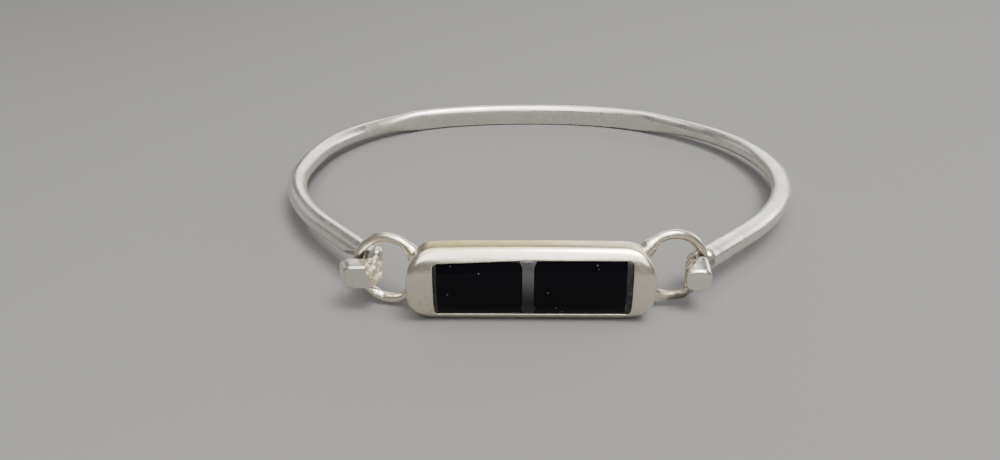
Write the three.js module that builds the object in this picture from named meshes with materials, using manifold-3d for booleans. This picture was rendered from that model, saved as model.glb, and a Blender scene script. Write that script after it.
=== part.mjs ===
// A silver tension bangle: an oval hoop of round wire with its back hammered flat on the inside,
// and a bar set with two black stones that hooks across the gap in front. Each end of the hoop has
// a slot, a neck and a knob, and a ring soldered behind each end of the bar sits in the slot.
// Millimetres. The bangle lies on its side: the bar stands on its lower edge at the front (-Y),
// the flattened back touches the surface at +Y, and the origin is under the middle of the whole.
import * as THREE from 'three';
import { mergeVertices } from 'three/addons/utils/BufferGeometryUtils.js';
import Module from 'manifold-3d';

const wasm = await Module();
wasm.setup();

// ---- driving dimensions ----
const WIRE_RADIUS = 1.22;
const HOOP_HALF_WIDTH = 32.5;       // of the wire's centre line
const HOOP_BACK_REACH = 28.15;      // centre line, from the widest place to the back
const HOOP_FRONT_REACH = 31.4;      // the same towards the front, where the oval would close
const HOOP_MIDDLE = 33.3;           // the widest place, behind the bar's foremost line
const HOOP_FULLNESS = { backLeft: 2.5, backRight: 2.15, front: 1.81 };
const HOOP_LEFT = 218;              // degrees round the oval where the left end runs straight
const HOOP_RIGHT = -42;             // and the right end
const BACK_FLAT = {
  halfHeight: 1.65,                 // the wire spreads upwards and downwards
  outerDepth: 0.95,                 // from the centre line to the rounded outside
  innerDepth: 0.8,                  // and to the hammered face
  faceLean: 0.12,                   // which leans in this much for each millimetre downwards
  squareBelow: 3,                   // the lower half is squarer than an ellipse, which is 2
  left: { begins: -24.6, full: -18.6 },
  right: { full: 17.2, ends: 25.2 },
};

const BAR = { length: 25, height: 8.3, depth: 3.35, endLength: 3.6, endFullness: 2.6 };
const BAR_MIDDLE = -1.26;           // the bar sits a little left of the hoop's middle
const BAR_FRONT = -31.2;            // its foremost line, along the crown of the face
const CROWN = 1.3;                  // how far the face falls back towards its long edges
const CROWN_FULLNESS = 2.6;
const RIM_ROUND = 0.45;
const TOP_BOW = 0.08;               // the upper edge drops this much towards the ends

const INLAY = { left: -9.72, right: 10.15, low: 1.0, high: 7.2, corner: 0.5, sunk: 0.12, fall: 0.3 };
const STONE_LEFT = { left: -9.34, right: -0.84 };
const STONE_RIGHT = { left: 0.36, right: 9.49 };
const STONE_BACK = 1.6;             // behind the bar's foremost line
const POCKET_FLOOR = 1.9;
const STONE_GAP = 0.1;

const RING = { radius: 3.43, wire: 0.51, lean: 6.5 };
const RING_LEFT = { out: 14.8, back: 4.4, height: 4.25, turn: 12 };
const RING_RIGHT = { out: 14.7, back: 4.5, height: 4.62, turn: 10 };
const SOLDER_RADIUS = 0.78;

const SLOT_BACK = 5.95;             // the ring's slot ends here, behind the bar's foremost line
const APEX_BACK = 6.9;              // where the wire's straight end stops
const APEX_HEIGHT = 4.1;

// Sections of neck and knob, from the wire forwards. inner and outer are distances from the bar's
// middle, back is behind its foremost line, low and top are heights. A flat is filed on the inner
// side, through the point given in the same way and facing inwards, forwards and up by the given
// shares. The left end of the wire is also sawn away obliquely from below.
const HOOK_LEFT = {
  neck: {
    squareness: 2.6,
    rows: [
      { back: 8.4, inner: 17.2, outer: 18.6, low: 3.3, top: 5.0 },
      { back: 7.2, inner: 16.2, outer: 17.8, low: 3.28, top: 5.28 },
      { back: 6.3, inner: 15.9, outer: 17.8, low: 3.08, top: 5.48 },
      { back: 5.8, inner: 15.75, outer: 17.35, low: 3.03, top: 5.53 },
      { back: 4.1, inner: 15.55, outer: 17.35, low: 3.03, top: 5.53 },
      { back: 3.7, inner: 15.6, outer: 17.35, low: 3.03, top: 5.53 },
    ],
  },
  knob: {
    squareness: 4,
    rows: [
      { back: 4.2, inner: 15.6, outer: 19.6, low: 3.1, top: 5.45 },
      { back: 3.95, inner: 15.4, outer: 19.85, low: 2.96, top: 5.6 },
      { back: 2.4, inner: 15.5, outer: 19.2, low: 2.96, top: 5.6 },
      { back: 2.15, inner: 15.75, outer: 18.95, low: 3.1, top: 5.45 },
    ],
  },
  filed: { inner: 16.85, back: 2.8, height: 5.4, facing: [0.9, 0.2, 0.39] },
  sawn: { inner: 18.93, back: 7.27, height: 4.8, facing: [-0.31, 0.65, -0.69] },
};
const HOOK_RIGHT = {
  neck: {
    squareness: 2.6,
    rows: [
      { back: 8.3, inner: 17.3, outer: 19.2, low: 3.3, top: 4.9 },
      { back: 7.4, inner: 17.05, outer: 19.0, low: 3.25, top: 5.15 },
      { back: 6.5, inner: 16.65, outer: 18.6, low: 3.15, top: 5.3 },
      { back: 5.8, inner: 16.35, outer: 17.2, low: 3.1, top: 5.35 },
      { back: 4.1, inner: 16.1, outer: 17.2, low: 3.05, top: 5.4 },
      { back: 3.7, inner: 16.0, outer: 17.4, low: 3.05, top: 5.4 },
    ],
  },
  knob: {
    squareness: 2.8,
    rows: [
      { back: 4.35, inner: 16.4, outer: 18.2, low: 4.3, top: 5.8 },
      { back: 4.05, inner: 16.1, outer: 18.45, low: 3.0, top: 5.9 },
      { back: 3.4, inner: 15.95, outer: 18.5, low: 2.9, top: 5.7 },
      { back: 2.25, inner: 15.7, outer: 18.42, low: 2.9, top: 5.38 },
      { back: 2.0, inner: 15.9, outer: 18.2, low: 3.05, top: 5.22 },
    ],
  },
  filed: { inner: 17.17, back: 4.4, height: 5.6, facing: [0.67, -0.25, 0.69] },
};

// ---- materials ----
const hoopSilver = new THREE.MeshStandardMaterial({ color: 0xc8c3b8, roughness: 0.28, metalness: 1 });
const barSilver = new THREE.MeshStandardMaterial({ color: 0xcdc7b6, roughness: 0.24, metalness: 1 });
const onyx = new THREE.MeshStandardMaterial({ color: 0x08080b, roughness: 0.08, metalness: 0 });

// ---- helpers ----
function solidOf(geometry) {
  const bare = geometry.clone();
  bare.deleteAttribute('normal');
  bare.deleteAttribute('uv');
  const merged = mergeVertices(bare, 1e-4);
  return new wasm.Manifold(new wasm.Mesh({
    numProp: 3,
    vertProperties: Float32Array.from(merged.getAttribute('position').array),
    triVerts: Uint32Array.from(merged.getIndex().array),
  }));
}

function geometryOf(solid) {
  const mesh = solid.getMesh();
  const geometry = new THREE.BufferGeometry();
  geometry.setAttribute('position', new THREE.BufferAttribute(mesh.vertProperties, 3));
  geometry.setIndex(new THREE.BufferAttribute(mesh.triVerts, 1));
  geometry.computeVertexNormals();
  return geometry;
}

// A cylinder whose rings of vertices are put where place(along, angle, reach) says.
function shapedCylinder(sides, steps, place) {
  const geometry = new THREE.CylinderGeometry(1, 1, 1, sides, steps);
  const position = geometry.getAttribute('position');
  for (let i = 0; i < position.count; i++) {
    const across = position.getX(i);
    const up = position.getZ(i);
    const reach = Math.round(Math.hypot(across, up));
    const point = place(position.getY(i) + 0.5, Math.atan2(up, across), reach);
    position.setXYZ(i, point.x, point.y, point.z);
  }
  return geometry;
}

function signedPower(value, power) {
  return Math.sign(value) * Math.abs(value) ** power;
}

// Rises smoothly from 0 at one value to 1 at another, in either direction.
function smooth(from, to, value) {
  return THREE.MathUtils.smoothstep((value - from) / (to - from), 0, 1);
}

// Everything beyond a plane through a point, on the side that the plane faces.
function beyond(point, facing) {
  const block = new THREE.BoxGeometry(20, 20, 20);
  block.translate(0, 0, 10);
  block.applyQuaternion(new THREE.Quaternion().setFromUnitVectors(
    new THREE.Vector3(0, 0, 1), facing.clone().normalize(),
  ));
  block.translate(point.x, point.y, point.z);
  return solidOf(block);
}

// ---- hoop ----
const ovalMiddle = BAR_FRONT + HOOP_MIDDLE;
const backLine = ovalMiddle + HOOP_BACK_REACH;
const apexLine = BAR_FRONT + APEX_BACK;

function wireHeight(y) {
  return THREE.MathUtils.mapLinear(y, backLine, apexLine, BACK_FLAT.halfHeight, APEX_HEIGHT);
}

// The oval part of the wire's centre line, from its right end round the back to its left end.
class Bow extends THREE.Curve {
  getPoint(t) {
    const angle = THREE.MathUtils.degToRad(THREE.MathUtils.lerp(HOOP_RIGHT, HOOP_LEFT, t));
    const across = Math.cos(angle);
    const along = Math.sin(angle);
    const back = along > 0;
    const fullness = back
      ? (across < 0 ? HOOP_FULLNESS.backLeft : HOOP_FULLNESS.backRight)
      : HOOP_FULLNESS.front;
    const x = HOOP_HALF_WIDTH * signedPower(across, 2 / fullness);
    const y = ovalMiddle
      + (back ? HOOP_BACK_REACH : HOOP_FRONT_REACH) * signedPower(along, 2 / fullness);
    return new THREE.Vector3(x, y, wireHeight(y));
  }
}

// The centre line runs straight on from the bow to the line where the hooks begin.
function apexAfter(point, direction) {
  const length = (apexLine - point.y) / direction.y;
  const apex = point.clone().addScaledVector(direction, length);
  apex.z = APEX_HEIGHT;
  return apex;
}

const bow = new Bow();
const bowRight = bow.getPoint(0);
const bowLeft = bow.getPoint(1);
const rightApex = apexAfter(bowRight, bow.getTangent(0).negate());
const leftApex = apexAfter(bowLeft, bow.getTangent(1));
const centreLine = new THREE.CurvePath();
centreLine.add(new THREE.LineCurve3(rightApex, bowRight));
centreLine.add(bow);
centreLine.add(new THREE.LineCurve3(bowLeft, leftApex));

function flatness(point) {
  if (point.y < ovalMiddle) return 0;
  return smooth(BACK_FLAT.left.begins, BACK_FLAT.left.full, point.x)
    * smooth(BACK_FLAT.right.ends, BACK_FLAT.right.full, point.x);
}

function hoopWire() {
  return shapedCylinder(16, 92, (along, angle, reach) => {
    const point = centreLine.getPoint(along);
    const tangent = centreLine.getTangent(along);
    const outward = new THREE.Vector3(tangent.y, -tangent.x, 0).normalize();
    const flat = flatness(point);
    const depth = THREE.MathUtils.lerp(WIRE_RADIUS, BACK_FLAT.outerDepth, flat);
    const halfHeight = THREE.MathUtils.lerp(WIRE_RADIUS, BACK_FLAT.halfHeight, flat);
    const squareness = Math.sin(angle) < 0 ? THREE.MathUtils.lerp(2, BACK_FLAT.squareBelow, flat) : 2;
    const across = signedPower(Math.cos(angle), 2 / squareness);
    const high = halfHeight * signedPower(Math.sin(angle), 2 / squareness);
    const leaning = BACK_FLAT.innerDepth + BACK_FLAT.faceLean * high;
    const face = THREE.MathUtils.lerp(2 * WIRE_RADIUS, leaning, flat);
    point.addScaledVector(outward, Math.max(depth * across, -face) * reach);
    point.z += high * reach;
    return point;
  });
}

// A stack of rounded sections with flat ends, one for each row.
function loft({ rows, squareness }, side) {
  return shapedCylinder(20, rows.length - 1, (along, angle, reach) => {
    const row = rows[Math.round((1 - along) * (rows.length - 1))];
    const across = signedPower(Math.cos(angle), 2 / squareness) * reach;
    const up = signedPower(Math.sin(angle), 2 / squareness) * reach;
    const middle = (row.inner + row.outer) / 2;
    return new THREE.Vector3(
      BAR_MIDDLE + side * middle + across * (row.outer - row.inner) / 2,
      BAR_FRONT + row.back,
      (row.low + row.top) / 2 + up * (row.top - row.low) / 2,
    );
  });
}

// What a file or a saw takes away on one side of a plane.
function cutAway({ inner, back, height, facing: [inwards, forwards, up] }, side) {
  return beyond(
    new THREE.Vector3(BAR_MIDDLE + side * inner, BAR_FRONT + back, height),
    new THREE.Vector3(-side * inwards, -forwards, up),
  );
}

function hook(form, side) {
  const whole = solidOf(loft(form.neck, side)).add(solidOf(loft(form.knob, side)));
  return whole.subtract(cutAway(form.filed, side));
}

function buildHoop() {
  const bends = [leftApex, rightApex].map((apex) => {
    const ball = new THREE.SphereGeometry(WIRE_RADIUS, 16, 10);
    ball.translate(apex.x, apex.y, apex.z);
    return solidOf(ball);
  });
  const slotSide = new THREE.BoxGeometry(60, 6, 12);
  slotSide.translate(0, BAR_FRONT + SLOT_BACK - 3, APEX_HEIGHT);
  const wire = solidOf(hoopWire()).add(bends[0]).add(bends[1])
    .subtract(solidOf(slotSide)).subtract(cutAway(HOOK_LEFT.sawn, -1));
  return wire.add(hook(HOOK_LEFT, -1)).add(hook(HOOK_RIGHT, 1));
}

// ---- bar ----
// The bar's outline seen from the front: flat below, faintly bowed above, with full rounded ends.
function barOutline() {
  const half = BAR.height / 2;
  const straight = BAR.length / 2 - BAR.endLength;
  const steps = 16;
  const bowed = (x, z) => new THREE.Vector2(
    x, z - TOP_BOW * Math.min(1, x / straight) ** 2 * Math.max(0, z / half - 1),
  );
  const points = [];
  for (let i = 0; i <= steps; i++) {
    const angle = (i / steps - 0.5) * Math.PI;
    points.push(bowed(
      straight + BAR.endLength * Math.cos(angle) ** (2 / BAR.endFullness),
      half + half * signedPower(Math.sin(angle), 2 / BAR.endFullness),
    ));
  }
  points.push(bowed(straight / 2, BAR.height), bowed(0, BAR.height));
  const mirrored = points.slice(0, -1).reverse().map((point) => new THREE.Vector2(-point.x, point.y));
  return new THREE.Shape([...points, ...mirrored]);
}

// Extrudes an upright outline backwards from one distance behind the bar's foremost line to another.
function standing(shape, from, to, round = 0) {
  const geometry = new THREE.ExtrudeGeometry(shape, {
    depth: to - from - 2 * round,
    bevelEnabled: round > 0,
    bevelThickness: round,
    bevelSize: round,
    bevelOffset: -round,
    bevelSegments: 3,
    curveSegments: 6,
  });
  geometry.rotateX(Math.PI / 2);
  geometry.translate(BAR_MIDDLE, BAR_FRONT + to - round, 0);
  return solidOf(geometry);
}

// Everything behind the crowned face, sunk by a given depth: the face is curved from its lower
// edge to its upper one and straight along the bar.
function behindFace(sunk) {
  const shape = new THREE.Shape();
  const steps = 20;
  const reach = BAR.height / 2;
  shape.moveTo(8, -1);
  for (let i = 0; i <= steps; i++) {
    const up = (2 * i / steps - 1) * (reach + 1);
    const fall = CROWN * (Math.abs(up) / reach) ** CROWN_FULLNESS;
    shape.lineTo(fall + sunk, reach + up);
  }
  shape.lineTo(8, BAR.height + 1);
  const geometry = new THREE.ExtrudeGeometry(shape, { depth: BAR.length + 4, bevelEnabled: false });
  // The section's first axis points backwards, its second upwards, and it runs along the bar.
  geometry.applyMatrix4(new THREE.Matrix4().makeBasis(
    new THREE.Vector3(0, 1, 0), new THREE.Vector3(0, 0, 1), new THREE.Vector3(1, 0, 0),
  ));
  geometry.translate(BAR_MIDDLE - BAR.length / 2 - 2, BAR_FRONT, 0);
  return solidOf(geometry);
}

// The inlay's upper edge: level over the right stone, falling away along the left one.
function inlayTop(x) {
  const fallen = THREE.MathUtils.clamp((STONE_LEFT.right - x) / (STONE_LEFT.right - INLAY.left), 0, 1);
  return INLAY.high - INLAY.fall * fallen;
}

// An upright window in the bar's face with rounded corners, drawn in by a gap all round.
function inlayWindow(leftEdge, rightEdge, gap) {
  const [left, right, low] = [leftEdge + gap, rightEdge - gap, INLAY.low + gap];
  const corner = INLAY.corner - gap;
  const top = (x) => inlayTop(x) - gap;
  const knee = STONE_LEFT.right;
  const shape = new THREE.Shape();
  shape.moveTo(left + corner, low);
  shape.lineTo(right - corner, low);
  shape.absarc(right - corner, low + corner, corner, -Math.PI / 2, 0);
  shape.lineTo(right, top(right) - corner);
  shape.absarc(right - corner, top(right) - corner, corner, 0, Math.PI / 2);
  if (knee < right - corner) shape.lineTo(Math.max(knee, left + corner), top(knee));
  shape.lineTo(left + corner, top(left));
  shape.absarc(left + corner, top(left) - corner, corner, Math.PI / 2, Math.PI);
  shape.lineTo(left, low + corner);
  shape.absarc(left + corner, low + corner, corner, Math.PI, 1.5 * Math.PI);
  return shape;
}

// A ring stands behind each end of the bar. It leans back a little and is turned so that its far
// side is further back.
function ringPlace(ring, side) {
  const turn = side * THREE.MathUtils.degToRad(ring.turn);
  return new THREE.Matrix4().makeTranslation(
    BAR_MIDDLE + side * ring.out, BAR_FRONT + ring.back, ring.height,
  ).multiply(new THREE.Matrix4().makeRotationZ(turn))
    .multiply(new THREE.Matrix4().makeRotationX(Math.PI / 2 - THREE.MathUtils.degToRad(RING.lean)));
}

function endRing(ring, side) {
  const torus = new THREE.TorusGeometry(RING.radius, RING.wire, 10, 36);
  torus.applyMatrix4(ringPlace(ring, side));
  return solidOf(torus);
}

// Solder where the ring's wire crosses the bar's rounded end, above and below.
function solderPool(ring, side, level) {
  const across = BAR.length / 2 - 0.5 - ring.out;
  const rise = Math.sqrt(RING.radius ** 2 - across ** 2);
  const pool = new THREE.SphereGeometry(SOLDER_RADIUS, 12, 8);
  const middle = new THREE.Vector3(side * across, level * rise, 0).applyMatrix4(ringPlace(ring, side));
  pool.translate(middle.x, middle.y - 0.1, middle.z);
  return solidOf(pool);
}

function buildSetting() {
  const face = behindFace(0);
  let setting = standing(barOutline(), 0, BAR.depth, RIM_ROUND).intersect(face);
  const inlay = inlayWindow(INLAY.left, INLAY.right, 0);
  const recess = standing(inlay, -1, POCKET_FLOOR).subtract(behindFace(INLAY.sunk));
  setting = setting.subtract(recess);
  for (const stone of [STONE_LEFT, STONE_RIGHT]) {
    setting = setting.subtract(standing(inlayWindow(stone.left, stone.right, 0), -1, POCKET_FLOOR));
  }
  for (const [ring, side] of [[RING_LEFT, -1], [RING_RIGHT, 1]]) {
    setting = setting.add(endRing(ring, side));
    for (const level of [1, -1]) setting = setting.add(solderPool(ring, side, level));
  }
  return setting;
}

function buildStone(stone) {
  const block = standing(inlayWindow(stone.left, stone.right, STONE_GAP), 0, STONE_BACK);
  return block.intersect(behindFace(INLAY.sunk));
}

// ---- the bangle ----
function named(name, solid, material) {
  const mesh = new THREE.Mesh(geometryOf(solid), material);
  mesh.name = name;
  return mesh;
}

const bangle = new THREE.Group();
bangle.add(named('hoop', buildHoop(), hoopSilver));
bangle.add(named('bar_setting', buildSetting(), barSilver));
bangle.add(named('onyx_left', buildStone(STONE_LEFT), onyx));
bangle.add(named('onyx_right', buildStone(STONE_RIGHT), onyx));

export default bangle;
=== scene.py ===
import math

import bmesh
import bpy
from mathutils import Matrix, Vector, noise


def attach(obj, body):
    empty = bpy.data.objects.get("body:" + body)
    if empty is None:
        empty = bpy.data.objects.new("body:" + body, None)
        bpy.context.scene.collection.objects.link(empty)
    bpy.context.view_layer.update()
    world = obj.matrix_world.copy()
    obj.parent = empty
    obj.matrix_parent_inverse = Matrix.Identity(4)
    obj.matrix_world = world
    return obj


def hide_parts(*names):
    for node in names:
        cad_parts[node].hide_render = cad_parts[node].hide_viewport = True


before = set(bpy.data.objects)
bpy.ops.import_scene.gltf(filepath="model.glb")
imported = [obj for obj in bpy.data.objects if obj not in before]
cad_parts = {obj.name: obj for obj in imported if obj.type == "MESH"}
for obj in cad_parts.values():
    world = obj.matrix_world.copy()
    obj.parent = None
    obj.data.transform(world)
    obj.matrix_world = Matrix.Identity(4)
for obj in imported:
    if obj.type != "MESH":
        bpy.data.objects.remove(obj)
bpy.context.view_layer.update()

# Sizes are in millimetres as far as the studio, which is in metres. x runs across the bangle,
# y from the bar in front (minus) to the back of the hoop (plus), and z up from the surface.
MM = 0.001

# The hoop. A fullness is the power of an oval: 2 is an ellipse and more is squarer. The wire
# leaves the oval at the angles HOOP_LEFT and HOOP_RIGHT and runs straight to its hooks.
WIRE_RADIUS = 1.22
WIRE_SIDES, WIRE_STEPS, BOW_STEPS = 48, 420, 1040
HOOP_HALF_WIDTH = 32.5
HOOP_BACK_REACH = 28.15
HOOP_FRONT_REACH = 31.4
HOOP_MIDDLE = 33.3
FULL_BACK_LEFT, FULL_BACK_RIGHT, FULL_FRONT = 2.5, 2.15, 1.81
HOOP_LEFT, HOOP_RIGHT = 218, -42
FLAT_HALF_HEIGHT, FLAT_OUTER, FLAT_INNER, FLAT_LEAN = 1.65, 0.95, 0.8, 0.12
FLAT_SQUARE_BELOW = 3
FLAT_LEFT, FLAT_RIGHT = (-24.6, -18.6), (25.2, 17.2)

# The bar, its crowned face and the window for the inlay.
BAR_LENGTH, BAR_HEIGHT, BAR_DEPTH = 25, 8.3, 3.35
BAR_END, BAR_END_FULLNESS = 3.6, 2.6
BAR_MIDDLE, BAR_FRONT = -1.26, -31.2
CROWN, CROWN_FULLNESS = 1.3, 2.6
TOP_BOW = 0.08
FRONT_ROUND, FRONT_FALL, BACK_ROUND, BACK_INSETS = 0.75, 0.34, 0.45, (0.8, 0.6)
WINDOW_ROUND, WINDOW_END_ROUND = 0.09, 0.34

# The inlay, measured from the bar's middle and its underside.
INLAY_LEFT, INLAY_RIGHT, INLAY_LOW, INLAY_HIGH = -9.72, 10.15, 1.0, 7.2
INLAY_CORNER, INLAY_SUNK, INLAY_FALL = 0.5, 0.12, 0.3
STONE_LEFT, STONE_RIGHT = (-9.34, -0.84), (0.36, 9.49)
STONE_BACK, POCKET_FLOOR = 1.6, 1.9
STONE_GAP, DIVIDER_GAP, DIVIDER_PROUD, INLAY_EDGE = 0.03, 0.02, 0.03, 0.07

# The rings. Then distances behind the bar's foremost line: the back wall of a hook's slot, the
# end of the wire's centre line (and its height), the middle of the slot, and where the worked
# end of a hook begins and is complete. Painted shade darkens the hook in and around the slot,
# where shadow falls, and fades out just past its walls.
# A cell is the grain of a melted skin, which is then smoothed in a few rounds.
RING_SIDES, RING_STEPS = 28, 150
RING_RADIUS, RING_WIRE, RING_LEAN, SOLDER = 3.43, 0.51, 6.5, 0.84
SLOT_BACK, APEX_BACK, APEX_HEIGHT = 5.95, 6.9, 4.1
SLOT_MIDDLE, WORKED_FROM, WORKED_FULLY = 5.05, 7.8, 6.8
SLOT_SHADE_FULL, SLOT_SHADE_REACH = 0.8, 1.02
HOOK_CELL, RING_CELL, MELT_ROUNDS = 0.07, 0.065, 4

# How much of the wire is made together with each hook, over how much of its end that skin sinks
# below the hoop's own wire, and how far before this lap the hoop's own wire begins.
HOOK_STUB, STUB_LAP, WIRE_LAP = 7.0, 1.6, 0.6

OVAL_MIDDLE = BAR_FRONT + HOOP_MIDDLE
BACK_LINE = OVAL_MIDDLE + HOOP_BACK_REACH
APEX_LINE = BAR_FRONT + APEX_BACK


# ---- small sums ----
def clamp(value, low=0.0, high=1.0):
    return max(low, min(high, value))


def smooth(start, end, value):
    t = clamp((value - start) / (end - start))
    return t * t * (3 - 2 * t)


def mix(a, b, t):
    return a + (b - a) * t


def signed_power(value, power):
    return math.copysign(abs(value) ** power, value)


def soft_max(a, b, blend):
    return (a + b + math.sqrt((a - b) ** 2 + blend * blend)) / 2


def grain(point, size, seed=0):
    """Smooth irregularity between -1 and 1 whose lumps are about size across."""
    return noise.noise(Vector(point) / size + Vector((seed * 7.3, seed * 3.1, 0)))


# ---- making pieces ----
def rod(sides, steps):
    """A closed round rod of unit radius that stands on z = 0 and ends at z = 1."""
    bm = bmesh.new()
    bmesh.ops.create_cone(bm, cap_ends=True, segments=sides, radius1=1, radius2=1, depth=1)
    bmesh.ops.translate(bm, verts=bm.verts, vec=(0, 0, 0.5))
    upright = [e for e in bm.edges if abs(e.verts[0].co.z - e.verts[1].co.z) > 0.5]
    bmesh.ops.subdivide_edges(bm, edges=upright, cuts=steps - 1)
    return bm


def shape(bm, place):
    """Puts each vertex where place(its own position) says."""
    for v in bm.verts:
        v.co = place(v.co.copy())
    return bm


def finish_mesh(bm, name):
    bmesh.ops.recalc_face_normals(bm, faces=bm.faces)
    mesh = bpy.data.meshes.new(name)
    bm.to_mesh(mesh)
    bm.free()
    return mesh


def piece(name, bm, finish, replaced=()):
    """Turns millimetres into metres, shades the piece smoothly and hangs it on the body."""
    bmesh.ops.scale(bm, verts=bm.verts, vec=(MM, MM, MM))
    mesh = finish_mesh(bm, name)
    mesh.shade_smooth()
    mesh.materials.append(finish)
    made = bpy.data.objects.new(name, mesh)
    bpy.context.scene.collection.objects.link(made)
    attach(made, "root")
    if replaced:
        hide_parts(*replaced)
    return made


def trim(bm, point, facing):
    """Cuts away everything on the side that the plane faces, and closes the cut."""
    everything = bm.verts[:] + bm.edges[:] + bm.faces[:]
    cut = bmesh.ops.bisect_plane(
        bm, geom=everything, dist=1e-5, plane_co=point, plane_no=facing, clear_outer=True)
    edges = [g for g in cut["geom_cut"] if isinstance(g, bmesh.types.BMEdge)]
    if edges:
        bmesh.ops.holes_fill(bm, edges=edges, sides=0)
    return bm


def fused(shells, cell):
    """Melts overlapping closed shells into one skin with cells of the given size."""
    together = bmesh.new()
    for shell in shells:
        mesh = finish_mesh(shell, "shell")
        together.from_mesh(mesh)
        bpy.data.meshes.remove(mesh)
    lump = bpy.data.objects.new("lump", finish_mesh(together, "lump"))
    bpy.context.scene.collection.objects.link(lump)
    remesh = lump.modifiers.new("melt", "REMESH")
    remesh.mode = "VOXEL"
    remesh.voxel_size = cell
    made = lump.evaluated_get(bpy.context.evaluated_depsgraph_get())
    skin = bpy.data.meshes.new_from_object(made)
    bpy.data.objects.remove(lump)
    bm = bmesh.new()
    bm.from_mesh(skin)
    bpy.data.meshes.remove(skin)
    return bm


# ---- finishes ----
# The Mix node has several sockets of each name, so its colours are found by their places.
MIX_FIRST, MIX_SECOND, MIX_RESULT = 6, 7, 2


class Field:
    """A number or colour that varies over a surface. Adding or multiplying adds a Math node."""

    def __init__(self, finish, socket):
        self.finish, self.socket = finish, socket

    def _sum(self, operation, first, second):
        return self.finish.node("ShaderNodeMath", {"operation": operation}, {0: first, 1: second})

    def __add__(self, other):
        return self._sum("ADD", self, other)

    def __mul__(self, other):
        return self._sum("MULTIPLY", self, other)


class Finish:
    """One material and its node tree."""

    def __init__(self, name):
        self.material = bpy.data.materials.new(name)
        self.material.use_nodes = True
        self.tree = self.material.node_tree
        self.surface = self.tree.nodes["Principled BSDF"]

    def node(self, kind, settings=None, inputs=None, output=0):
        made = self.tree.nodes.new(kind)
        for name, value in (settings or {}).items():
            if name == "stops":
                ramp = made.color_ramp.elements
                while len(ramp) < len(value):
                    ramp.new(0.5)
                for stop, (place, colour) in zip(ramp, value):
                    stop.position, stop.color = place, colour
            else:
                setattr(made, name, value)
        for key, value in (inputs or {}).items():
            self.set(made.inputs[key], value)
        return Field(self, made.outputs[output])

    def set(self, socket, value):
        if isinstance(value, Field):
            self.tree.links.new(value.socket, socket)
        else:
            socket.default_value = value

    def put(self, name, value):
        self.set(self.surface.inputs[name], value)

    def place(self, stretch=(1, 1, 1), source="Object"):
        """The position on the piece in millimetres, stretched along each axis."""
        unit = 1000 if source == "Object" else 1
        where = self.node("ShaderNodeTexCoord", output=source)
        return self.node("ShaderNodeMapping", inputs={
            "Vector": where, "Scale": tuple(unit * s for s in stretch)})

    def grain(self, place, size, detail=2.0, roughness=0.5, seed=0.0):
        """Soft noise between about 0.3 and 0.7, in lumps of the given size in millimetres."""
        return self.node("ShaderNodeTexNoise", {"noise_dimensions": "4D"}, {
            "Vector": place, "W": seed, "Scale": 1 / size,
            "Detail": detail, "Roughness": roughness})

    def span(self, value, low, high, to_low=0.0, to_high=1.0):
        """Moves the range low to high onto another one, and stops at its ends."""
        return self.node("ShaderNodeMapRange", {"interpolation_type": "SMOOTHSTEP"}, {
            "Value": value, "From Min": low, "From Max": high,
            "To Min": to_low, "To Max": to_high})

    def blend(self, amount, first, second):
        return self.node("ShaderNodeMix", {"data_type": "RGBA"}, {
            "Factor": amount, MIX_FIRST: first, MIX_SECOND: second}, output=MIX_RESULT)

    def attribute(self, name):
        return self.node("ShaderNodeAttribute", {"attribute_name": name}, output="Fac")


SILVER = (0.78, 0.75, 0.695, 1)
YELLOWED = (0.62, 0.55, 0.40, 1)
GREYED = (0.44, 0.425, 0.405, 1)
SHADE_DARK = (0.13, 0.115, 0.10, 1)
OLIVE = (0.51, 0.42, 0.14, 1)
FILED = (0.80, 0.68, 0.50, 1)
WARM = (0.81, 0.75, 0.63, 1)
SHADED = (0.23, 0.22, 0.235, 1)
STRIP = (0.045, 0.045, 0.052, 1)
STONE_BLACK = (0.002, 0.0018, 0.0028, 1)
DUST = (0.16, 0.15, 0.15, 1)


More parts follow.
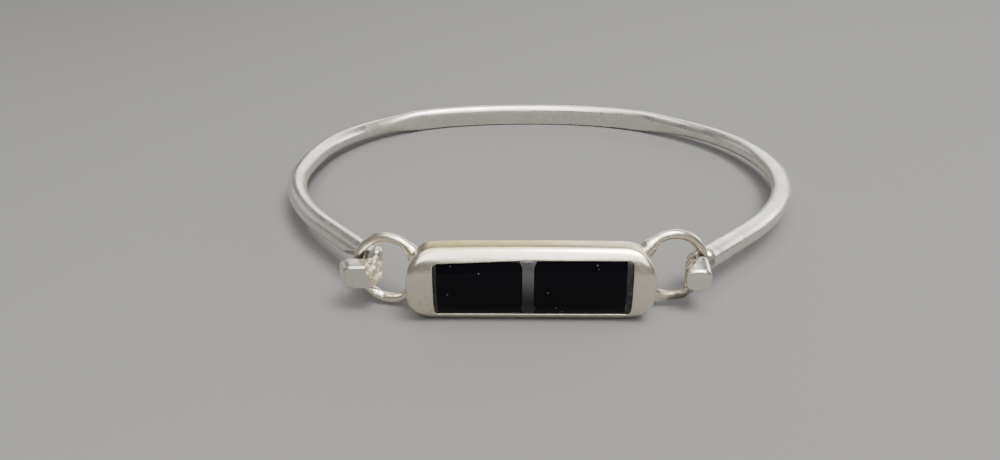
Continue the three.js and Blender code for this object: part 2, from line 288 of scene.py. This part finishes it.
def silver(name, worn=0.30, yellowed=0.3, scratch=1.0, along=(1, 1, 1), source="Object",
           clean=SILVER, marks=()):
    """Silver that has been worn: cloudy, finely scratched and faintly yellowed.

    along gives how fine the scratches are on each axis. marks names the attributes that the
    piece carries: the painted shade is dark in the slots and corners where shadow falls, filed
    is left rough, tarnish is olive grey and shade is painted shade, darker towards the bottom
    of an inlaid strip.
    """
    finish = Finish(name)
    body = finish.place()
    clouds = finish.grain(body, 4.5, 3, 0.55)
    spots = finish.grain(body, 0.9, 4, 0.6, seed=3)
    speckle = finish.grain(body, 0.16, 2, 0.5, seed=5)
    lines = finish.grain(finish.place(along, source), 1.0, 3, 0.6, seed=7)

    yellow = finish.span(clouds, 0.42, 0.66, 0, yellowed)
    grey = finish.span(spots, 0.53, 0.72, 0, 0.26)
    colour = finish.blend(grey, finish.blend(yellow, clean, YELLOWED), GREYED)
    rough = (finish.span(clouds, 0.35, 0.7, worn - 0.06, worn + 0.06)
             + finish.span(spots, 0.45, 0.75, 0, 0.10)
             + finish.span(lines, 0.52, 0.70, 0, 0.08 * scratch))
    height = lines * (0.6 * scratch) + spots * 0.55 + speckle * 0.08
    if "tarnish" in marks:
        tarnish = finish.attribute("tarnish") * finish.span(spots, 0.25, 0.65, 1.15, 0.75)
        colour = finish.blend(tarnish, colour, OLIVE)
        rough = rough + tarnish * 0.12
    if "shade" in marks:
        colour = finish.blend(finish.attribute("shade"), colour, STRIP)
    if "filed" in marks:
        filed = finish.attribute("filed")
        colour = finish.blend(filed * finish.span(speckle, 0.35, 0.6, 0.3, 1), colour, FILED)
        rough = rough + filed * 0.14
        height = height + filed * speckle * 2.2
    # Painted shade: slots, corners and shaded sides are blended towards a dark colour, standing
    # for the shadow there.
    if "grime" in marks:
        grime = finish.attribute("grime")
        dark = finish.span(grime * finish.span(spots, 0.3, 0.6, 0.7, 1.15), 0.1, 0.95, 0, 0.92)
        colour = finish.blend(dark, colour, SHADE_DARK)
        rough = rough + grime * 0.12
    finish.put("Base Color", colour)
    finish.put("Metallic", 1.0)
    finish.put("Roughness", rough)
    finish.put("Normal", finish.node("ShaderNodeBump", inputs={
        "Height": height, "Strength": 0.22, "Distance": 0.04 * MM}))
    return finish.material


def onyx(name):
    """Black onyx with a high polish, faint hairlines and a few specks of dust."""
    finish = Finish(name)
    body = finish.place()
    dust = finish.node("ShaderNodeTexVoronoi", {"feature": "F1"}, {
        "Vector": body, "Scale": 0.62, "Randomness": 1.0}, output="Distance")
    speck = finish.span(dust, 0.045, 0.07, 1, 0)
    smear = finish.grain(body, 2.6, 3, 0.6, seed=2)
    hairs = finish.grain(finish.place((0.25, 1, 14)), 1.0, 2, 0.5, seed=4)
    finish.put("Base Color", finish.blend(speck * 0.5, STONE_BLACK, DUST))
    finish.put("Roughness", finish.span(smear, 0.4, 0.7, 0.06, 0.14)
               + finish.span(hairs, 0.58, 0.72, 0, 0.05) + speck * 0.4)
    finish.put("IOR", 1.54)
    finish.put("Specular IOR Level", 0.09)
    return finish.material


# ---- hoop ----
def wire_height(y):
    return mix(FLAT_HALF_HEIGHT, APEX_HEIGHT, (y - BACK_LINE) / (APEX_LINE - BACK_LINE))


def bow_point(degrees):
    """A point of the oval centre line, 0 at its right, 90 at its back and 180 at its left."""
    across, back = math.cos(math.radians(degrees)), math.sin(math.radians(degrees))
    if back > 0:
        fullness = FULL_BACK_LEFT if across < 0 else FULL_BACK_RIGHT
        reach = HOOP_BACK_REACH
    else:
        fullness, reach = FULL_FRONT, HOOP_FRONT_REACH
    y = OVAL_MIDDLE + reach * signed_power(back, 2 / fullness)
    return Vector((HOOP_HALF_WIDTH * signed_power(across, 2 / fullness), y, wire_height(y)))


def run_straight(end, before):
    """Runs on in a straight line to where the hook begins."""
    heading = end - before
    tip = end + heading * ((APEX_LINE - end.y) / heading.y)
    return [end.lerp(tip, i / 24) for i in range(1, 25)]


def centre_line():
    """Evenly spaced points from the right hook round the back to the left hook."""
    bow = [bow_point(HOOP_RIGHT + (HOOP_LEFT - HOOP_RIGHT) * i / BOW_STEPS)
           for i in range(BOW_STEPS + 1)]
    right, left = run_straight(bow[0], bow[1]), run_straight(bow[-1], bow[-2])
    path = right[::-1] + bow + left
    lengths = [0.0]
    for a, b in zip(path, path[1:]):
        lengths.append(lengths[-1] + (b - a).length)
    even, k = [], 0
    for i in range(WIRE_STEPS + 1):
        want = lengths[-1] * i / WIRE_STEPS
        while k < len(path) - 2 and lengths[k + 1] < want:
            k += 1
        share = (want - lengths[k]) / (lengths[k + 1] - lengths[k])
        even.append(path[k].lerp(path[k + 1], share))
    return even, lengths[-1]


WIRE_PATH, WIRE_LENGTH = centre_line()


def wire_at(distance):
    """The centre line's point and heading at a distance from its right end."""
    spot = clamp(distance / WIRE_LENGTH) * WIRE_STEPS
    i = min(int(spot), WIRE_STEPS - 1)
    before, after = WIRE_PATH[max(i - 1, 0)], WIRE_PATH[min(i + 2, WIRE_STEPS)]
    return WIRE_PATH[i].lerp(WIRE_PATH[i + 1], spot - i), (after - before).normalized()


def flatness(point):
    if point.y < OVAL_MIDDLE:
        return 0.0
    return smooth(*FLAT_LEFT, point.x) * smooth(*FLAT_RIGHT, point.x)


def wire_surface(distance, angle, reach=1.0, swell=0.0):
    """A point on the wire: angle 0 faces out of the hoop and a quarter turn faces up."""
    point, heading = wire_at(distance)
    outward = Vector((heading.y, -heading.x, 0)).normalized()
    flat = flatness(point)
    radius = WIRE_RADIUS + swell + 0.012 * grain((distance, 0, 0), 5)
    square = mix(2, FLAT_SQUARE_BELOW, flat) if angle < 0 else 2
    across = mix(radius, FLAT_OUTER, flat) * signed_power(math.cos(angle), 2 / square)
    high = mix(radius, FLAT_HALF_HEIGHT, flat) * signed_power(math.sin(angle), 2 / square)
    dents = 0.035 * grain((distance, high, 3), 2.6)
    face = mix(2 * radius, FLAT_INNER + FLAT_LEAN * high + dents, flat)
    out = soft_max(across, -face, 0.10 * flat + 1e-6)
    return point + outward * (out * reach) + Vector((0, 0, high * reach))


def make_wire(finish):
    bm = rod(WIRE_SIDES, WIRE_STEPS)
    start = HOOK_STUB - STUB_LAP - WIRE_LAP
    end = WIRE_LENGTH - HOOK_STUB + STUB_LAP + WIRE_LAP
    laid = bm.loops.layers.uv.new("along")
    spots = {v: (mix(start, end, v.co.z), math.atan2(v.co.y, v.co.x)) for v in bm.verts}
    for face in bm.faces:
        angles = [spots[loop.vert][1] for loop in face.loops]
        for loop in face.loops:
            distance, angle = spots[loop.vert]
            if max(angles) - angle > math.pi:
                angle += 2 * math.pi
            loop[laid].uv = (distance, angle * WIRE_RADIUS)
    for v, (distance, angle) in spots.items():
        v.co = wire_surface(distance, angle)
    return piece("hoop_wire", bm, finish, ["hoop"])


# Sections of the neck and the knob, from the wire forwards: back is behind the bar's foremost
# line, inner, outer and out are distances from the bar's middle, low and top are heights. filed
# and sawn are flat cuts. Their facing is inwards, forwards and up, and minus is the other way.
# The last entry is how much painted shade, standing for shadow, lies on the rough sides,
# besides the painted shade in the slot.
LEFT_HOOK = dict(
    side=-1,
    neck=dict(squareness=4.5, rows=(
        dict(back=8.4, inner=17.2, outer=18.6, low=3.3, top=5.0),
        dict(back=7.2, inner=16.2, outer=17.8, low=3.28, top=5.28),
        dict(back=6.3, inner=15.9, outer=17.8, low=3.08, top=5.48),
        dict(back=5.8, inner=15.6, outer=17.35, low=3.03, top=5.53),
        dict(back=4.1, inner=15.3, outer=17.35, low=2.98, top=5.53),
        dict(back=3.7, inner=15.3, outer=17.35, low=2.98, top=5.53))),
    knob=dict(squareness=4, rows=(
        dict(back=4.2, inner=15.25, outer=19.6, low=3.1, top=5.45),
        dict(back=3.95, inner=15.15, outer=19.85, low=2.96, top=5.6),
        dict(back=2.4, inner=15.5, outer=19.2, low=2.96, top=5.6),
        dict(back=2.15, inner=15.75, outer=18.95, low=3.1, top=5.45))),
    filed=dict(out=16.75, back=2.6, height=5.4, facing=(0.91, 0.26, 0.29)),
    sawn=dict(out=18.93, back=7.27, height=4.8, facing=(-0.31, 0.65, -0.69)),
    burrs=(dict(out=16.15, back=5.85, height=5.35, radius=0.62),
           dict(out=16.1, back=5.7, height=4.9, radius=0.52)),
    grime=0.1,
)
RIGHT_HOOK = dict(
    side=1,
    neck=dict(squareness=2.6, rows=(
        dict(back=8.3, inner=17.3, outer=19.2, low=3.3, top=4.9),
        dict(back=7.4, inner=17.05, outer=19.0, low=3.25, top=5.15),
        dict(back=6.5, inner=16.65, outer=18.6, low=3.15, top=5.3),
        dict(back=5.8, inner=16.35, outer=17.2, low=3.1, top=5.35),
        dict(back=4.1, inner=16.1, outer=17.2, low=3.05, top=5.4),
        dict(back=3.7, inner=16.0, outer=17.4, low=3.05, top=5.4))),
    knob=dict(squareness=2.8, rows=(
        dict(back=4.35, inner=16.4, outer=18.2, low=4.3, top=5.8),
        dict(back=4.05, inner=16.1, outer=18.45, low=3.0, top=5.9),
        dict(back=3.4, inner=15.95, outer=18.5, low=2.9, top=5.7),
        dict(back=2.25, inner=15.7, outer=18.42, low=2.9, top=5.38),
        dict(back=2.0, inner=15.9, outer=18.2, low=3.05, top=5.22))),
    filed=dict(out=17.17, back=4.4, height=5.6, facing=(0.67, -0.25, 0.69)),
    sawn=None,
    burrs=(),
    grime=0.8,
)


def from_bar(side, out, back, height):
    return Vector((BAR_MIDDLE + side * out, BAR_FRONT + back, height))


def loft(form, side):
    rows, squareness = form["rows"], form["squareness"]

    def place(at):
        row = rows[round(at.z * (len(rows) - 1))]
        angle = math.atan2(at.y, at.x)
        across = signed_power(math.cos(angle), 2 / squareness)
        up = signed_power(math.sin(angle), 2 / squareness)
        out, height = (row["inner"] + row["outer"]) / 2, (row["low"] + row["top"]) / 2
        middle = from_bar(side, out, row["back"], height)
        return middle + Vector((across * (row["outer"] - row["inner"]) / 2, 0,
                                up * (row["top"] - row["low"]) / 2))
    return shape(rod(40, len(rows) - 1), place)


def plane_of(tool, side):
    """A point on the plane of a file or saw, and the way it faces."""
    inwards, forwards, up = tool["facing"]
    return (from_bar(side, tool["out"], tool["back"], tool["height"]),
            Vector((-side * inwards, -forwards, up)).normalized())


def bead(middle, radius):
    bm = bmesh.new()
    bmesh.ops.create_uvsphere(bm, u_segments=32, v_segments=20, radius=radius)
    bmesh.ops.translate(bm, verts=bm.verts, vec=middle)
    return bm


def melted(shells, cell, rounds):
    """Fuses the shells and rounds the seams between them."""
    bm = fused(shells, cell)
    for _ in range(rounds):
        bmesh.ops.smooth_vert(bm, verts=bm.verts, factor=0.5,
                              use_axis_x=True, use_axis_y=True, use_axis_z=True)
    bm.normal_update()
    return bm


def make_hook(name, hook, finish):
    side = hook["side"]

    def stub_place(at):
        along = at.z * HOOK_STUB
        distance = WIRE_LENGTH - along if side < 0 else along
        sink = 0.014 - 0.08 * smooth(HOOK_STUB - STUB_LAP, HOOK_STUB, along)
        return wire_surface(distance, math.atan2(at.y, at.x), swell=sink)

    stub = shape(rod(WIRE_SIDES, 24), stub_place)
    ball = bead(WIRE_PATH[-1] if side < 0 else WIRE_PATH[0], WIRE_RADIUS + 0.014)
    slot = Vector((0, BAR_FRONT + SLOT_BACK, 0))
    shells = [trim(stub, slot, (0, -1, 0)), trim(ball, slot, (0, -1, 0))]
    if hook["sawn"]:
        shells = [trim(shell, *plane_of(hook["sawn"], side)) for shell in shells]
    flat, facing = plane_of(hook["filed"], side)
    for form in (hook["neck"], hook["knob"]):
        shells.append(trim(loft(form, side), flat, facing))
    burrs = [(from_bar(side, burr["out"], burr["back"], burr["height"]), burr["radius"])
             for burr in hook["burrs"]]
    shells += [bead(middle, radius) for middle, radius in burrs]

    bm = melted(shells, HOOK_CELL, MELT_ROUNDS)
    grime = bm.verts.layers.float.new("grime")
    rough = bm.verts.layers.float.new("filed")
    slot_middle = BAR_FRONT + SLOT_MIDDLE
    for v in bm.verts:
        forward = smooth(BAR_FRONT + WORKED_FROM, BAR_FRONT + WORKED_FULLY, v.co.y)
        on_flat = forward * smooth(0.22, 0.05, abs((v.co - flat).dot(facing)))
        on_flat *= smooth(0.55, 0.85, v.normal.dot(facing))
        inner_side = forward * smooth(0.35, 0.75, -side * v.normal.x)
        # Painted shade: the hook is darkened in and around the slot and on its rough sides, as
        # the shadow there.
        in_slot = smooth(SLOT_SHADE_REACH, SLOT_SHADE_FULL, abs(v.co.y - slot_middle)) * (1 - inner_side)
        rough_side = max(on_flat, inner_side)
        for middle, radius in burrs:
            off_burr = smooth(radius + 0.02, radius + 0.2, (v.co - middle).length)
            in_slot, rough_side = in_slot * off_burr, rough_side * off_burr
        v[rough] = max(rough_side, 0.06 * forward)
        v[grime] = max(in_slot, hook["grime"] * rough_side * clamp(0.75 + grain(v.co, 0.5, 4)))
        lumps = grain(v.co, 0.85, 1) * 0.16 + grain(v.co, 0.4, 2) * 0.07
        soft = grain(v.co, 1.1, 3) * 0.02 * forward
        v.co += v.normal * (lumps * rough_side + soft)
    return piece(name, bm, finish)


# ---- bar ----
def crown(z):
    half = BAR_HEIGHT / 2
    return CROWN * (abs(z - half) / half) ** CROWN_FULLNESS


def inlay_top(x):
    right = STONE_LEFT[1]
    return INLAY_HIGH - INLAY_FALL * clamp((right - x) / (right - INLAY_LEFT))


def fallen(x, z):
    """Lowers a height inside the inlay as its upper edge falls away to the left."""
    share = (z - INLAY_LOW) / (INLAY_HIGH - INLAY_LOW)
    return z - (INLAY_HIGH - inlay_top(x)) * clamp(share)


def bar_outline(angle):
    """The bar's outline from the front, from its middle line and its underside."""
    half, straight = BAR_HEIGHT / 2, BAR_LENGTH / 2 - BAR_END
    across, up = math.cos(angle), math.sin(angle)
    end = BAR_END * abs(across) ** (2 / BAR_END_FULLNESS)
    z = half + half * signed_power(up, 2 / BAR_END_FULLNESS)
    x = math.copysign(straight + end, across)
    return Vector((x, 0, z))


def make_bar(finish):
    end_sides, run_sides = 96, 60
    sides = 2 * (end_sides + run_sides)
    half, straight = BAR_HEIGHT / 2, BAR_LENGTH / 2 - BAR_END
    outline = []
    for i in range(end_sides):
        outline.append(bar_outline(math.pi * ((i + 0.5) / end_sides - 0.5) * 0.9999))
    for i in range(run_sides):
        outline.append(Vector((straight * (1 - 2 * (i + 0.5) / run_sides), 0, BAR_HEIGHT)))
    for i in range(end_sides):
        right = outline[i]
        outline.append(Vector((-right.x, 0, BAR_HEIGHT - right.z)))
    for i in range(run_sides):
        outline.append(Vector((-straight * (1 - 2 * (i + 0.5) / run_sides), 0, 0)))
    for p in outline:
        p.z -= TOP_BOW * min(1, abs(p.x) / straight) ** 2 * max(0, p.z / half - 1)

    def window(p):
        """The nearest point of the inlay's rounded window."""
        inner = Vector((clamp(p.x, INLAY_LEFT + INLAY_CORNER, INLAY_RIGHT - INLAY_CORNER), 0,
                        clamp(p.z, INLAY_LOW + INLAY_CORNER, INLAY_HIGH - INLAY_CORNER)))
        edge = inner + (p - inner).normalized() * INLAY_CORNER
        return Vector((edge.x, 0, fallen(edge.x, edge.z)))
    windows = [window(p) for p in outline]

    quarter = [math.pi / 2 * i / 7 for i in range(8)]
    small = [math.pi / 2 * i / 5 for i in range(6)]

    def row_at(kind, step, p, q):
        """A point of one row: p is on the outline and q on the window, both from the front."""
        inward = (q - p).normalized()
        wide = (q - p).length
        lip = mix(WINDOW_ROUND, WINDOW_END_ROUND, smooth(0.6, 0.97, abs(inward.x)))
        if kind == "back":
            at = p + inward * (BACK_ROUND * (1 - math.cos(step)))
            return Vector((at.x, BAR_DEPTH - BACK_ROUND * (1 - math.sin(step)), at.z))
        if kind == "back_inner":
            at = p + inward * step
            return Vector((at.x, BAR_DEPTH, at.z))
        if kind == "front":
            at = p + inward * (FRONT_ROUND * (1 - math.cos(step)))
            return Vector((at.x, crown(at.z) + FRONT_FALL * (1 - math.sin(step)), at.z))
        if kind == "face":
            at = p + inward * mix(FRONT_ROUND, wide - lip, step)
            return Vector((at.x, crown(at.z), at.z))
        if kind == "lip":
            at = q - inward * (lip * (1 - math.sin(step)))
            deep = WINDOW_ROUND + 0.35 * (lip - WINDOW_ROUND)
            return Vector((at.x, crown(at.z) + deep * (1 - math.cos(step)), at.z))
        return Vector((q.x, POCKET_FLOOR, q.z))

    rows = ([("back_inner", inset) for inset in BACK_INSETS]
            + [("back", q) for q in quarter[::-1]]
            + [("front", q) for q in quarter]
            + [("face", s) for s in (0.12, 0.3, 0.5, 0.7, 0.88, 1.0)]
            + [("lip", q) for q in small[1:]]
            + [("pocket", 0)])

    def place(at):
        row = round(at.z * (len(rows) - 1))
        turn = math.atan2(at.y, at.x) / (2 * math.pi)
        i = round(turn * sides) % sides
        spot = row_at(*rows[row], outline[i], windows[i])
        worn = 0.02 * grain(spot, 3.0, 6) + 0.006 * grain(spot, 0.8, 8)
        return Vector((BAR_MIDDLE + spot.x, BAR_FRONT + spot.y + worn, spot.z))

    bm = shape(rod(sides, len(rows) - 1), place)
    tarnish = bm.verts.layers.float.new("tarnish")
    for v in bm.verts:
        behind = v.co.y - BAR_FRONT
        on_top = smooth(BAR_HEIGHT - 0.55, BAR_HEIGHT - 0.12, v.co.z) * smooth(0.9, 1.9, behind)
        fading = mix(1, 0.35, smooth(-5, 9, v.co.x))
        v[tarnish] = max(on_top * fading, 0.5 * smooth(2.6, 3.3, behind))
    return piece("bar_body", bm, finish, ["bar_setting"])


def slab(left, right, low, high, back, corner, edge, sunk):
    """An upright block in the inlay whose front follows the bar's crown."""
    bm = bmesh.new()
    bmesh.ops.create_cube(bm, size=1)
    bmesh.ops.scale(bm, verts=bm.verts, vec=(right - left, back, high - low))
    bmesh.ops.translate(bm, verts=bm.verts, vec=((left + right) / 2, back / 2, (low + high) / 2))
    if corner:
        deep = [e for e in bm.edges if abs(e.verts[0].co.y - e.verts[1].co.y) > back / 2]
        bmesh.ops.bevel(bm, geom=deep, offset=corner, offset_type="OFFSET", affect="EDGES",
                        segments=6, profile=0.5, material=-1)
    levels = 26
    for i in range(1, levels):
        bmesh.ops.bisect_plane(
            bm, geom=bm.verts[:] + bm.edges[:] + bm.faces[:], dist=1e-5,
            plane_co=(0, 0, mix(low, high, i / levels)), plane_no=(0, 0, 1))
    front = {v for v in bm.verts if v.co.y < back / 2}
    for v in front:
        v.co.y = crown(v.co.z) + sunk
    for v in bm.verts:
        v.co.z = fallen(v.co.x, v.co.z)
    rim = [e for e in bm.edges if front.issuperset(e.verts)
           and any(not front.issuperset(f.verts) for f in e.link_faces)]
    bmesh.ops.bevel(bm, geom=rim, offset=edge, offset_type="OFFSET", affect="EDGES",
                    segments=3, profile=0.5, material=-1, clamp_overlap=True)
    bmesh.ops.translate(bm, verts=bm.verts, vec=(BAR_MIDDLE, BAR_FRONT, 0))
    return bm


def make_stone(name, sides, finish, node):
    bm = slab(sides[0] + STONE_GAP, sides[1] - STONE_GAP,
              INLAY_LOW + STONE_GAP, INLAY_HIGH - STONE_GAP,
              STONE_BACK, INLAY_CORNER - STONE_GAP, INLAY_EDGE, INLAY_SUNK)
    return piece(name, bm, finish, [node])


def make_divider(name, left, right, finish, flare=0.0):
    """A silver strip beside or between the stones. Its top may flare out over their corners."""
    bm = slab(left, right, INLAY_LOW + DIVIDER_GAP, INLAY_HIGH - DIVIDER_GAP,
              POCKET_FLOOR, 0, INLAY_EDGE, INLAY_SUNK - DIVIDER_PROUD)
    shade = bm.verts.layers.float.new("shade")
    middle = BAR_MIDDLE + (left + right) / 2
    for v in bm.verts:
        # Painted shade: the strip's silver darkens towards its bottom.
        v[shade] = smooth(INLAY_HIGH - 0.6, INLAY_LOW + 1.5, v.co.z)
        spread = flare * smooth(INLAY_HIGH - 0.9, INLAY_HIGH, v.co.z) ** 2
        v.co.x += math.copysign(spread, v.co.x - middle)
    return piece(name, bm, finish)


# ---- rings ----
# Each ring's wire crosses the bar a little inside its end. The beads of solder are placed along
# the wire by their angles from there, in radians. The last entry is how much painted shade
# darkens the lower arc.
SOLDER_INSET = 0.5
SOLDER_BEADS = (0.12, 0.03, -0.06, -0.15, -0.24, -0.33)
LEFT_RING = dict(side=-1, out=14.8, back=4.4, height=4.25, turn=12, grime_below=0.0)
RIGHT_RING = dict(side=1, out=14.7, back=4.5, height=4.62, turn=10, grime_below=0.75)


def make_ring(name, ring, finish):
    side = ring["side"]
    loop = bmesh.new()
    quarter_turn = Matrix.Rotation(math.pi / 2, 3, "X")
    bmesh.ops.create_circle(loop, cap_ends=False, segments=RING_SIDES, radius=RING_WIRE)
    bmesh.ops.rotate(loop, verts=loop.verts, cent=(0, 0, 0), matrix=quarter_turn)
    bmesh.ops.translate(loop, verts=loop.verts, vec=(RING_RADIUS, 0, 0))
    bmesh.ops.spin(loop, geom=loop.verts[:] + loop.edges[:], cent=(0, 0, 0), axis=(0, 0, 1),
                   angle=2 * math.pi, steps=RING_STEPS, use_merge=True)
    across = BAR_LENGTH / 2 - SOLDER_INSET - ring["out"]
    rise = math.sqrt(RING_RADIUS ** 2 - across ** 2)
    joint = math.atan2(rise, across)
    pools = []
    for level in (1, -1):
        for further in SOLDER_BEADS:
            turn = level * (joint + further)
            middle = (side * RING_RADIUS * math.cos(turn), RING_RADIUS * math.sin(turn), 0.05)
            swollen = smooth(-0.38, 0.04, further)
            pools.append(bead(middle, mix(RING_WIRE, SOLDER, swollen)))
    bm = melted([loop] + pools, RING_CELL, MELT_ROUNDS)

    grime = bm.verts.layers.float.new("grime")
    rough = bm.verts.layers.float.new("filed")
    for v in bm.verts:
        turn = math.atan2(v.co.y, side * v.co.x)
        lower = smooth(0.35, 0.9, -math.sin(turn)) * smooth(-0.25, 0.3, math.cos(turn))
        lumps = lower * (0.10 * grain(v.co, 0.95, 1) + 0.06 * grain(v.co, 0.5, 2))
        v[rough] = 0.1 * lower
        # Painted shade: the part of the ring in the hook's slot is darkened as the shadow there,
        # and the lower arc as its shaded underside.
        below = smooth(0.62, 0.86, -math.sin(turn)) * smooth(-0.32, -0.02, math.cos(turn))
        v[grime] = max(0.6 * smooth(0.9, 0.985, math.cos(turn)), ring["grime_below"] * below)
        v.co += v.normal * (lumps + 0.014 * grain(v.co, 1.4, 3))
    stand = (Matrix.Translation(from_bar(side, ring["out"], ring["back"], ring["height"]))
             @ Matrix.Rotation(side * math.radians(ring["turn"]), 4, "Z")
             @ Matrix.Rotation(math.radians(90 - RING_LEAN), 4, "X"))
    bmesh.ops.transform(bm, matrix=stand, verts=bm.verts)
    return piece(name, bm, finish)


# ---- the bangle ----
wire_silver = silver("silver_hoop", worn=0.30, yellowed=0.35, along=(0.22, 5, 5), source="UV")
hook_silver = silver("silver_hooks", worn=0.25, yellowed=0.25, along=(2, 2, 2),
                     marks=("filed", "grime"))
ring_silver = silver("silver_rings", worn=0.26, yellowed=0.30, along=(2, 2, 2), clean=WARM,
                     marks=("filed", "grime"))
bar_silver = silver("silver_bar", worn=0.22, yellowed=0.5, scratch=0.35, along=(0.3, 5, 5),
                    clean=WARM, marks=("tarnish",))
# The divider's silver is darkened all over as painted shade.
divider_silver = silver("silver_divider", worn=0.33, yellowed=0.1, along=(5, 5, 0.4),
                        clean=SHADED, marks=("shade",))
strip_silver = silver("silver_strips", worn=0.33, yellowed=0.05, along=(5, 5, 0.4), clean=STRIP)
black_onyx = onyx("onyx_black")

make_wire(wire_silver)
make_hook("hook_left", LEFT_HOOK, hook_silver)
make_hook("hook_right", RIGHT_HOOK, hook_silver)
make_bar(bar_silver)
make_divider("divider_left", INLAY_LEFT + DIVIDER_GAP, STONE_LEFT[0], strip_silver)
make_divider("divider_middle", STONE_LEFT[1], STONE_RIGHT[0], divider_silver, flare=0.3)
make_divider("divider_right", STONE_RIGHT[1], INLAY_RIGHT - DIVIDER_GAP, strip_silver)
make_stone("stone_left", STONE_LEFT, black_onyx, "onyx_left")
make_stone("stone_right", STONE_RIGHT, black_onyx, "onyx_right")
make_ring("ring_left", LEFT_RING, ring_silver)
make_ring("ring_right", RIGHT_RING, ring_silver)


# ---- studio, in metres and degrees ----
FLOOR_COLOUR, FLOOR_RADIUS = (0.155, 0.154, 0.152, 1), 0.5
ROOM_COLOUR, ROOM_STRENGTH = (0.80, 0.79, 0.78, 1), 0.28
CAMERA_PITCH, CAMERA_YAW, CAMERA_ROLL = 27.073, -1.5875, -0.628
CAMERA_PLACE_MM = Vector((-2.366, -98.103, 45.176))
SENSOR_WIDTH_MM, LENS_MM = 36, 28.35
HOOP_CENTRE = (0, 0, 0)
SOFTBOXES = (
    dict(name="key", place=(0.12, -0.13, 0.39), target=HOOP_CENTRE,
         width=0.18, height=0.16, power=2.6, colour=(1.0, 0.985, 0.96)),
    dict(name="front", place=(0.05, -0.34, 0.365), target=HOOP_CENTRE,
         width=0.50, height=0.36, power=2.4, colour=(1.0, 0.985, 0.965)),
    dict(name="top", place=(-0.06, 0.02, 0.52), target=HOOP_CENTRE,
         width=0.50, height=0.36, power=1.6, colour=(1.0, 0.985, 0.965)),
    dict(name="back", place=(0.20, 0.42, 0.20), target=(0.02, 0, 0),
         width=0.92, height=0.27, power=1.85, colour=(1.0, 0.985, 0.97)),
    dict(name="left", place=(-0.44, 0.30, 0.15), target=HOOP_CENTRE,
         width=0.30, height=0.20, power=0.11, colour=(1.0, 0.985, 0.97)),
    dict(name="right", place=(0.50, 0.22, 0.14), target=HOOP_CENTRE,
         width=0.26, height=0.16, power=0.42, colour=(1.0, 0.985, 0.97)),
)


def pale_floor():
    finish = Finish("floor_pale")
    finish.put("Base Color", FLOOR_COLOUR)
    finish.put("Roughness", 0.9)
    bm = bmesh.new()
    bmesh.ops.create_circle(bm, cap_ends=True, segments=128, radius=FLOOR_RADIUS)
    mesh = bpy.data.meshes.new("floor")
    bm.to_mesh(mesh)
    bm.free()
    mesh.materials.append(finish.material)
    floor = bpy.data.objects.new("floor", mesh)
    bpy.context.scene.collection.objects.link(floor)


def softbox(name, place, target, width, height, power, colour):
    light = bpy.data.lights.new(name, "AREA")
    light.shape = "RECTANGLE"
    light.size, light.size_y = width, height
    light.energy, light.color = power, colour
    lamp = bpy.data.objects.new(name, light)
    lamp.location = place
    lamp.rotation_euler = (Vector(target) - Vector(place)).to_track_quat("-Z", "Y").to_euler()
    bpy.context.scene.collection.objects.link(lamp)


def pale_room():
    world = bpy.data.worlds.new("room")
    world.use_nodes = True
    background = world.node_tree.nodes["Background"]
    background.inputs["Color"].default_value = ROOM_COLOUR
    background.inputs["Strength"].default_value = ROOM_STRENGTH
    bpy.context.scene.world = world


def camera():
    """A camera a hand's breadth from the bar, looking down on it at 27 degrees."""
    pitch = math.radians(CAMERA_PITCH)
    yaw = math.radians(CAMERA_YAW)
    roll = math.radians(CAMERA_ROLL)
    ahead = Vector((math.sin(yaw) * math.cos(pitch), math.cos(yaw) * math.cos(pitch),
                    -math.sin(pitch)))
    right = Vector((math.cos(yaw), -math.sin(yaw), 0))
    up = right.cross(ahead)
    leaned_right = right * math.cos(roll) + up * math.sin(roll)
    leaned_up = up * math.cos(roll) - right * math.sin(roll)
    data = bpy.data.cameras.new("camera")
    data.sensor_width, data.lens = SENSOR_WIDTH_MM, LENS_MM
    data.clip_start, data.clip_end = 0.002, 20
    made = bpy.data.objects.new("camera", data)
    turned = Matrix((leaned_right, leaned_up, -ahead)).transposed().to_4x4()
    made.matrix_world = Matrix.Translation(CAMERA_PLACE_MM * MM) @ turned
    bpy.context.scene.collection.objects.link(made)
    bpy.context.scene.camera = made


pale_floor()
pale_room()
for box in SOFTBOXES:
    softbox(**box)
camera()
